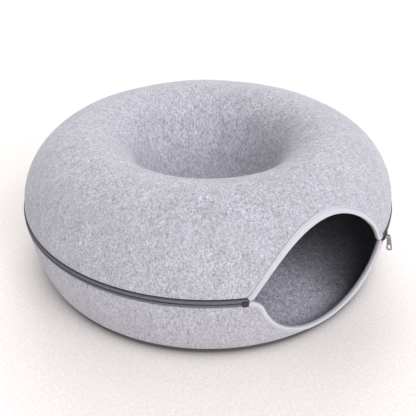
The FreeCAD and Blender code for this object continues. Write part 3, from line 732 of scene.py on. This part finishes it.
def make_binding(label, half, body):
    """Tape folded over the felt's edge, with a rounded end at each corner of the entrance."""
    count = 361
    _, place, normal = entrance_path(half, count)
    cap, cap_steps, cap_roundness = 1.8 * MM, 8, 2.4
    shares = np.linspace(0, 1, cap_steps + 1)[1:]
    taper = [(cap * t, math.sqrt(max(0.0, 1 - t**cap_roundness))) for t in shares]
    # Each column is a place on the path, how far past it the column lies, and its size.
    stations = [(0, -shift, size) for shift, size in reversed(taper)]
    stations += [(i, 0.0, 1.0) for i in range(count)]
    stations += [(count - 1, shift, size) for shift, size in taper]
    section = binding_section()
    middle = BINDING_WIDTH / 2
    columns = []
    for index, shift, size in stations:
        into = middle + (section[:, 0] - middle) * size
        out = np.where(
            section[:, 1] > -FELT / 2,
            section[:, 1] * size,
            -FELT + (section[:, 1] + FELT) * size,
        )
        x = place[index, 0] + shift + normal[index, 0] * into
        h = np.maximum(place[index, 1] + normal[index, 1] * into, HALF_GAP)
        r = half.wall_radius(h, out)
        y = -np.sqrt(np.maximum(r**2 - x**2, 0))
        columns.append(np.stack([x, y, ZIP_Z + half.sign * h], 1))
    faces = grid_faces(len(columns), len(section), round_rows=True)
    faces.append(tuple(range(len(section) - 1, -1, -1)))
    last = (len(columns) - 1) * len(section)
    faces.append(tuple(last + i for i in range(len(section))))
    if half.sign > 0:
        faces = [face[::-1] for face in faces]
    return make_piece(
        f"{label}_tape", np.concatenate(columns), faces, body, [label],
        (binding_tape,),
    )


def stitch_row(name, starts, ends, outs, radius, body):
    """Short threads that stand out of the cloth, one from each start to its end."""
    sides, rings = 6, 5
    end_taper, sunk = 0.12, 0.75
    points, faces = [], []
    for start, end, out in zip(starts, ends, outs):
        axis = end - start
        across = np.cross(axis, out)
        across /= np.linalg.norm(across)
        first = len(points)
        for ring in range(rings):
            t = ring / (rings - 1)
            bulge = math.sin(math.pi * (end_taper + (1 - 2 * end_taper) * t))
            middle = start + axis * t + out * radius * (bulge - sunk)
            for side in range(sides):
                a = 2 * math.pi * side / sides
                points.append(
                    middle + radius * bulge * (math.cos(a) * across + math.sin(a) * out)
                )
        faces += grid_faces(rings, sides, round_rows=True, first=first)
        faces.append(tuple(first + i for i in range(sides)))
        faces.append(tuple(first + (rings - 1) * sides + i for i in range(sides - 1, -1, -1)))
    return make_piece(name, points, faces, body, materials=(thread,))


def make_binding_stitches(label, half, body):
    """The row that holds the folded tape, in the groove near its outer border."""
    into, pitch, length = 0.845 * BINDING_WIDTH, 3.2 * MM, 2.5 * MM
    groove_height, thread_radius = 0.40 * BINDING_THICK, 0.26 * MM
    along, place, normal = entrance_path(half, 721)
    middles = np.arange(along[0] + pitch, along[-1] - pitch / 2, pitch)

    def on_tape(s):
        x = np.interp(s, along, place[:, 0] + normal[:, 0] * into)
        h = np.interp(s, along, place[:, 1] + normal[:, 1] * into)
        r = half.wall_radius(h, groove_height)
        return np.stack([x, -np.sqrt(r**2 - x**2), ZIP_Z + half.sign * h], 1)

    starts, ends = on_tape(middles - length / 2), on_tape(middles + length / 2)
    outs = (starts + ends) / 2 - np.array([0, 0, ZIP_Z])
    outs /= np.linalg.norm(outs, axis=1)[:, None]
    return stitch_row(label, starts, ends, outs, thread_radius, body)


HALVES = (("upper", top_half, "top_half"), ("lower", bottom_half, "bottom_half"))

for side, half, body in HALVES:
    make_binding(f"{side}_binding", half, body)
for side, half, body in HALVES:
    make_binding_stitches(f"{side}_binding_stitches", half, body)

# ---------------------------------------------------------------- zip


def ring_bearings(first, sweep, step):
    """Bearings from first over sweep, in degrees, that lie about a step apart on the tape."""
    count = int(math.radians(sweep) * TAPE_FACE / step)
    return np.radians(np.linspace(first, first + sweep, count))


def make_tape(label, half, body):
    """Woven tape: a ribbed roll beside the chain, then the part that is sewn behind the felt."""
    bearings = ring_bearings(TAPE_FIRST, TAPE_SWEEP, 0.55 * MM)
    # Distance from the zip, and how far the face is behind TAPE_FACE, in mm.
    face = np.array([
        (0.45, 0.75), (0.58, 0.35), (0.90, 0.06), (1.50, -0.10), (2.40, -0.14), (3.30, -0.04),
        (3.90, 0.25), (4.30, 0.75), (4.62, 1.50), (4.90, 2.50), (5.25, 3.70), (7.50, 4.45),
        (10.0, 5.25), (13.0, 6.20),
    ]) * MM
    ways = np.gradient(face, axis=0)
    ways /= np.linalg.norm(ways, axis=1)[:, None]
    back = face + TAPE_THICK * np.stack([-ways[:, 1], ways[:, 0]], 1)
    outline = np.concatenate([face, back[::-1]])
    heights, radii = outline[:, 0], TAPE_FACE - outline[:, 1]
    # The ribs fade out towards the chain and towards the felt.
    off_chain = smooth_step(face[:, 0], 0.5 * MM, 1.3 * MM)
    at_felt = smooth_step(face[:, 0], 3.6 * MM, 4.9 * MM)
    on_band = np.concatenate([off_chain - at_felt, np.zeros(len(face))])
    rib_height = 0.07 * MM
    columns = []
    for bearing in bearings:
        slant = bearing * TAPE_FACE + half.sign * TAPE_RIB_SLANT * heights
        rib = rib_height * np.sin(2 * math.pi * slant / TAPE_RIB_PITCH) * on_band
        columns.append(on_ring(radii + rib, bearing, ZIP_Z + half.sign * heights))
    rows = len(heights)
    faces = grid_faces(len(columns), rows, round_rows=True)
    faces.append(tuple(range(rows - 1, -1, -1)))
    faces.append(tuple((len(columns) - 1) * rows + i for i in range(rows)))
    if half.sign > 0:
        faces = [face[::-1] for face in faces]
    return make_piece(
        f"{label}_weave", np.concatenate(columns), faces, body, [label],
        (zip_weave,),
    )


def make_coil(label, half, body):
    """One row of the coil as a real winding, half a turn off the other row."""
    pitch = 1.7 * MM
    wire = 0.34 * MM
    turn_points, sides = ((8, 5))
    turns = int(math.radians(CHAIN_SWEEP) * TAPE_FACE / pitch)
    steps = np.arange(turns * turn_points + 1)
    shift = 0.0 if half.sign > 0 else math.pi
    phase = 2 * math.pi * steps / turn_points + shift
    bearings = np.radians(CHAIN_FIRST + CHAIN_SWEEP * steps / steps[-1])
    middle_r = TAPE_FACE - TAPE_THICK - COIL_THICK / 2
    middle_h = TAPE_EDGE + COIL_WIDTH / 2
    r = middle_r + (COIL_THICK / 2 - wire) * np.sin(phase)
    h = middle_h + (COIL_WIDTH / 2 - wire) * np.cos(phase)
    centres = on_ring(r, bearings, ZIP_Z + half.sign * h)
    tangents = np.gradient(centres, axis=0)
    tangents /= np.linalg.norm(tangents, axis=1)[:, None]
    round_ring = np.stack([np.cos(bearings), np.sin(bearings), np.zeros(len(steps))], 1)
    across = np.cross(tangents, round_ring)
    across /= np.linalg.norm(across, axis=1)[:, None]
    other = np.cross(tangents, across)
    angles = 2 * math.pi * np.arange(sides) / sides
    points = (
        centres[:, None, :]
        + wire * np.cos(angles)[None, :, None] * across[:, None, :]
        + wire * np.sin(angles)[None, :, None] * other[:, None, :]
    )
    faces = grid_faces(len(steps), sides, round_rows=True)
    last = (len(steps) - 1) * sides
    faces.append(tuple(range(sides - 1, -1, -1)))
    faces.append(tuple(last + i for i in range(sides)))
    return make_piece(
        f"{label}_turns", points.reshape(-1, 3), faces, body, [label],
        (coil_nylon,),
    )


def make_seam(label, half, body):
    """Stitches that hold the zip's tape to the felt, sunk beside the felt's edge."""
    pitch, length, up = 3.6 * MM, 2.7 * MM, 3.0 * MM
    clear_of_ends = 1.5
    bearings = ring_bearings(TAPE_FIRST + clear_of_ends, TAPE_SWEEP - 2 * clear_of_ends, pitch)
    r, z, out_r, out_z = half.at(up)
    reach = length / 2 / r
    deep, thread_radius = 0.12 * MM, 0.22 * MM
    starts = on_ring(r - deep, bearings - reach, z)
    ends = on_ring(r - deep, bearings + reach, z)
    outs = on_ring(np.full(len(bearings), out_r), bearings, out_z)
    return stitch_row(label, starts, ends, outs, thread_radius, body)


for side, half, body in HALVES:
    make_tape(f"{side}_zip_tape", half, body)
    make_coil(f"{side}_zip_coil", half, body)
    make_seam(f"{side}_zip_stitches", half, body)

# ---------------------------------------------------------------- slider, pull and fittings


def place_at(bearing, radius, height, lean=0.0):
    """Local x out from the axis, y up, z along the ring, leaning about z, in degrees."""
    b = math.radians(bearing)
    out = Vector((math.sin(b), -math.cos(b), 0))
    up = Vector((0, 0, 1))
    round_ring = out.cross(up)
    turned = Matrix((out, up, round_ring)).transposed().to_4x4()
    turned.translation = out * radius + up * height
    return turned @ Matrix.Rotation(math.radians(lean), 4, "Z")


def rounded_loop(corners, radii, steps=6):
    """A closed outline with rounded corners."""
    loop = []
    count = len(corners)
    for i, corner in enumerate(corners):
        here = Vector(corner)
        back = (Vector(corners[i - 1]) - here).normalized()
        on = (Vector(corners[(i + 1) % count]) - here).normalized()
        half_turn = back.angle(on) / 2
        reach = radii[i] / math.tan(half_turn)
        middle = here + (back + on).normalized() * (radii[i] / math.sin(half_turn))
        start, stop = here + back * reach - middle, here + on * reach - middle
        first, last = math.atan2(start.y, start.x), math.atan2(stop.y, stop.x)
        sweep = (last - first + math.pi) % (2 * math.pi) - math.pi
        for k in range(steps + 1):
            a = first + sweep * k / steps
            loop.append((middle.x + radii[i] * math.cos(a), middle.y + radii[i] * math.sin(a)))
    return loop


def slab(name, loops, thick, bevel, matrix, body, nodes=(), material=None):
    """A flat piece cut to outlines, holes included, with rounded edges."""
    curve = bpy.data.curves.new(name, "CURVE")
    curve.dimensions = "2D"
    curve.fill_mode = "BOTH"
    curve.extrude = thick / 2 - bevel
    curve.bevel_depth = bevel
    curve.bevel_resolution = 3
    curve.offset = -bevel
    for loop in loops:
        spline = curve.splines.new("POLY")
        spline.points.add(len(loop) - 1)
        for point, (x, y) in zip(spline.points, loop):
            point.co = (x, y, 0, 1)
        spline.use_cyclic_u = True
    shape = bpy.data.objects.new(name, curve)
    bpy.context.scene.collection.objects.link(shape)
    bpy.context.view_layer.update()
    depsgraph = bpy.context.evaluated_depsgraph_get()
    mesh = bpy.data.meshes.new_from_object(shape.evaluated_get(depsgraph))
    bpy.data.objects.remove(shape)
    bpy.data.curves.remove(curve)
    mesh.transform(matrix)
    mesh.materials.clear()
    mesh.materials.append(material)
    mesh.name = name
    piece = bpy.data.objects.new(name, mesh)
    bpy.context.scene.collection.objects.link(piece)
    shade_by_angle(piece)
    return dress(piece, body, nodes)


def shade_by_angle(piece):
    """Smooth shading that keeps the edges that turn by more than the crease angle."""
    crease = 40
    mesh = piece.data
    mesh.polygons.foreach_set("use_smooth", [True] * len(mesh.polygons))
    mesh.set_sharp_from_angle(angle=math.radians(crease))


SLIDER_LENGTH, SLIDER_WIDTH = 12.6 * MM, 8.2 * MM
PLATE, PLATE_GAP = 1.4 * MM, 0.35 * MM
OUTER_PLATE = TAPE_FACE + PLATE_GAP + PLATE / 2
INNER_PLATE = TAPE_FACE - TAPE_THICK - COIL_THICK - PLATE_GAP - PLATE / 2
BRIDGE_BAR = 1.6 * MM      # how thick its bar is
BRIDGE_RISE = 2.6 * MM     # from the outer plate to its bar
BAR_R = OUTER_PLATE + PLATE / 2 + BRIDGE_RISE + BRIDGE_BAR / 2
PULL_LEAN = 11


def make_slider():
    """Two shaped plates, the post between them, and the bridge that the pull hangs on."""
    plate_bevel, post_bevel, bridge_bevel = 0.42 * MM, 0.05 * MM, 0.4 * MM
    across = Matrix.Rotation(math.radians(90), 4, "Y")
    length, width = SLIDER_LENGTH / 2, SLIDER_WIDTH / 2
    corners = [
        (-length, -0.72 * width),
        (0.1 * length, -width),
        (length, -width),
        (length, -0.3 * width),
        (0.84 * length, 0.0),
        (length, 0.3 * width),
        (length, width),
        (0.1 * length, width),
        (-length, 0.72 * width),
    ]
    radii = [r * MM for r in (1.6, 3.0, 1.8, 0.4, 0.5, 0.4, 1.8, 3.0, 1.6)]
    outline = rounded_loop(corners, radii)
    for name, radius, nodes in (
        ("slider_outer_plate", OUTER_PLATE, ["zip_slider"]),
        ("slider_inner_plate", INNER_PLATE, []),
    ):
        matrix = place_at(SLIDER_BEARING, radius, ZIP_Z) @ across
        slab(name, [outline], PLATE, plate_bevel, matrix, "slider",
             nodes, lacquer)
    post_r = (OUTER_PLATE + INNER_PLATE) / 2
    a, b = 1.6 * MM, 0.4 * MM  # half its length along the ring, and half its thickness
    post = rounded_loop([(-a, -b), (a, -b), (a, b), (-a, b)], [0.3 * MM] * 4, steps=3)
    matrix = place_at(SLIDER_BEARING, post_r, ZIP_Z) @ across
    slab("slider_post", [post], OUTER_PLATE - INNER_PLATE, post_bevel, matrix, "slider",
         [], lacquer)

    inside, bar, wide = 2.6 * MM, BRIDGE_BAR, 2 * MM
    low, under = OUTER_PLATE - BAR_R, -bar / 2
    arch = [
        (low, -inside - bar),
        (under + bar, -inside - bar),
        (under + bar, inside + bar),
        (low, inside + bar),
        (low, inside),
        (under, inside),
        (under, -inside),
        (low, -inside),
    ]
    radii = [r * MM for r in (0.1, 1.5, 1.5, 0.1, 0.1, 0.7, 0.7, 0.1)]
    flat = Matrix.Rotation(math.radians(90), 4, "X")
    matrix = place_at(SLIDER_BEARING, BAR_R, ZIP_Z) @ flat
    slab("slider_bridge", [rounded_loop(arch, radii)], wide, bridge_bevel, matrix, "slider",
         [], plating)


def make_pull():
    """Tapered tab with a round eye and a long slot."""
    length, neck, end = 16 * MM, 2.2 * MM, 3.5 * MM
    thick, bevel = 1.5 * MM, 0.35 * MM
    eye_radius, slot_radius, slot_length = 1.45 * MM, 1.5 * MM, 3 * MM
    slant = math.asin((end - neck) / length)

    def arc_points(centre_y, radius, start, stop, steps=24):
        angles = np.linspace(start, stop, steps + 1)
        return [(radius * math.cos(a), centre_y + radius * math.sin(a)) for a in angles]

    outline = arc_points(0.0, neck, slant, math.pi - slant)
    outline += arc_points(-length, end, math.pi - slant, 2 * math.pi + slant)
    eye = arc_points(0.0, eye_radius, 0, 2 * math.pi)[:-1]
    slot = arc_points(-length + slot_length, slot_radius, 0, math.pi)
    slot += arc_points(-length, slot_radius, math.pi, 2 * math.pi)
    matrix = place_at(SLIDER_BEARING, BAR_R, ZIP_Z, PULL_LEAN)
    slab("zip_pull_tab", [outline, eye, slot], thick, bevel, matrix, "pull",
         ["zip_pull"], plating)


make_slider()
make_pull()

for name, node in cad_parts.items():
    if name in ("zip_retainer_box", "zip_insertion_pin", "upper_end_stop", "lower_end_stop"):
        node.data.materials.clear()
        node.data.materials.append(fitting_plastic)
        soft_edges = node.modifiers.new("soft_edges", "BEVEL")
        soft_edges.width = 0.25 * MM
        soft_edges.segments = 3
        soft_edges.limit_method = "ANGLE"

# ---------------------------------------------------------------- floor, light, camera

FLOOR_GLOW = 0.16
FLOOR_REACH = 30.0
FLOOR_BELOW = 0.3 * MM     # how far it is under the bed's foot
SHADE_FROM = 231 * MM      # radius, under the overhang, from which the painted shadow on the floor clears outwards
# How much darker the painted shadow makes the floor there, and the distance over which that falls
# to 1 / e.
CONTACT_DEPTH, CONTACT_FALL = 0.8, 6.5 * MM
AROUND_DEPTH, AROUND_FALL = 0.13, 42 * MM


def make_floor():
    """A pale sheet that glows a little, as a light table does, with a shadow painted into its
    colour and its glow round the bed's foot.
    """
    n = Nodes("pale_paper_floor")
    fine = n.noise(330, 3.0, 0.65)
    n.bump(fine, 0.8 * MM, 0.5)
    grain = n.spread(fine, 0.3, 0.7, 0.91, 1.06)
    x, y, _ = n.split()
    inside = n.maths("SUBTRACT", SHADE_FROM, n.distance(x, y))

    def shade(depth, fall):
        """Painted shadow: 1 far out, and less by depth at SHADE_FROM and inside it."""
        near = n.maths("POWER", math.e, n.maths("DIVIDE", inside, fall))
        lost = n.maths("MULTIPLY", n.maths("MINIMUM", near, 1.0), depth)
        return n.maths("SUBTRACT", 1.0, lost)

    # Shadow painted on the floor: dark at the bed's foot, and softer further round it.
    contact_shadow = shade(CONTACT_DEPTH, CONTACT_FALL)
    shadow_around = shade(AROUND_DEPTH, AROUND_FALL)
    n.finish(
        Base_Color=n.tint((0.735, 0.69, 0.682), grain, contact_shadow, shadow_around),
        Emission_Color=n.tint((1.0, 0.945, 0.93), grain, contact_shadow, shadow_around),
        Emission_Strength=FLOOR_GLOW,
        Roughness=0.9,
        Specular_IOR_Level=0.1,
    )
    a, z = FLOOR_REACH, -FLOOR_BELOW
    corners = [(-a, -a, z), (a, -a, z), (a, a, z), (-a, a, z)]
    mesh = bpy.data.meshes.new("floor")
    mesh.from_pydata(corners, [], [(0, 1, 2, 3)])
    mesh.materials.append(n.material)
    floor = bpy.data.objects.new("floor", mesh)
    bpy.context.scene.collection.objects.link(floor)


VIEW_FROM = Vector((-0.3759, -0.5615, 0.4822))
VIEW_TO = Vector((0, 0, 0.04875))
LENS, SENSOR = 47.49, 36   # in mm
# Level directions as seen: away from the camera, and to the right.
view_back = Vector((VIEW_TO.x - VIEW_FROM.x, VIEW_TO.y - VIEW_FROM.y, 0)).normalized()
view_right = Vector((view_back.y, -view_back.x, 0))
SOFTNESS = 40              # how wide each light looks from the bed, in degrees


def make_camera():
    data = bpy.data.cameras.new("camera")
    data.lens = LENS
    data.sensor_width = SENSOR
    camera = bpy.data.objects.new("camera", data)
    camera.location = VIEW_FROM
    camera.rotation_euler = (VIEW_TO - VIEW_FROM).to_track_quat("-Z", "Y").to_euler()
    bpy.context.scene.collection.objects.link(camera)
    bpy.context.scene.camera = camera


def make_sun(name, swing, height, strength):
    """A far soft light, with its height and its swing from behind the bed to the right, as seen."""
    data = bpy.data.lights.new(name, "SUN")
    data.energy = strength
    data.angle = math.radians(SOFTNESS)
    a, h = math.radians(swing), math.radians(height)
    flat = view_back * math.cos(a) + view_right * math.sin(a)
    towards = flat * math.cos(h) + Vector((0, 0, math.sin(h)))
    light = bpy.data.objects.new(name, data)
    light.rotation_euler = towards.to_track_quat("Z", "Y").to_euler()
    bpy.context.scene.collection.objects.link(light)


def make_backdrop():
    """A pale wall all round, far off, which is seen but gives no light of its own."""
    world = bpy.data.worlds.new("studio")
    world.use_nodes = True
    background = world.node_tree.nodes["Background"]
    background.inputs["Color"].default_value = (1.0, 0.97, 0.96, 1)
    path = world.node_tree.nodes.new("ShaderNodeLightPath")
    world.node_tree.links.new(path.outputs["Is Camera Ray"], background.inputs["Strength"])
    bpy.context.scene.world = world


make_floor()
make_camera()
make_sun("back_window", 0, 30, 1.44)
make_sun("back_high", 0, 60, 0.80)
make_sun("right_low", 135, 30, 1.44)
make_sun("right_high", 135, 60, 0.92)
make_sun("front_box", 180, 30, 1.28)
make_sun("left_box", 270, 30, 0.64)
make_sun("side_box", 90, 30, 0.53)
make_backdrop()
bpy.context.scene.view_settings.view_transform = "Standard"
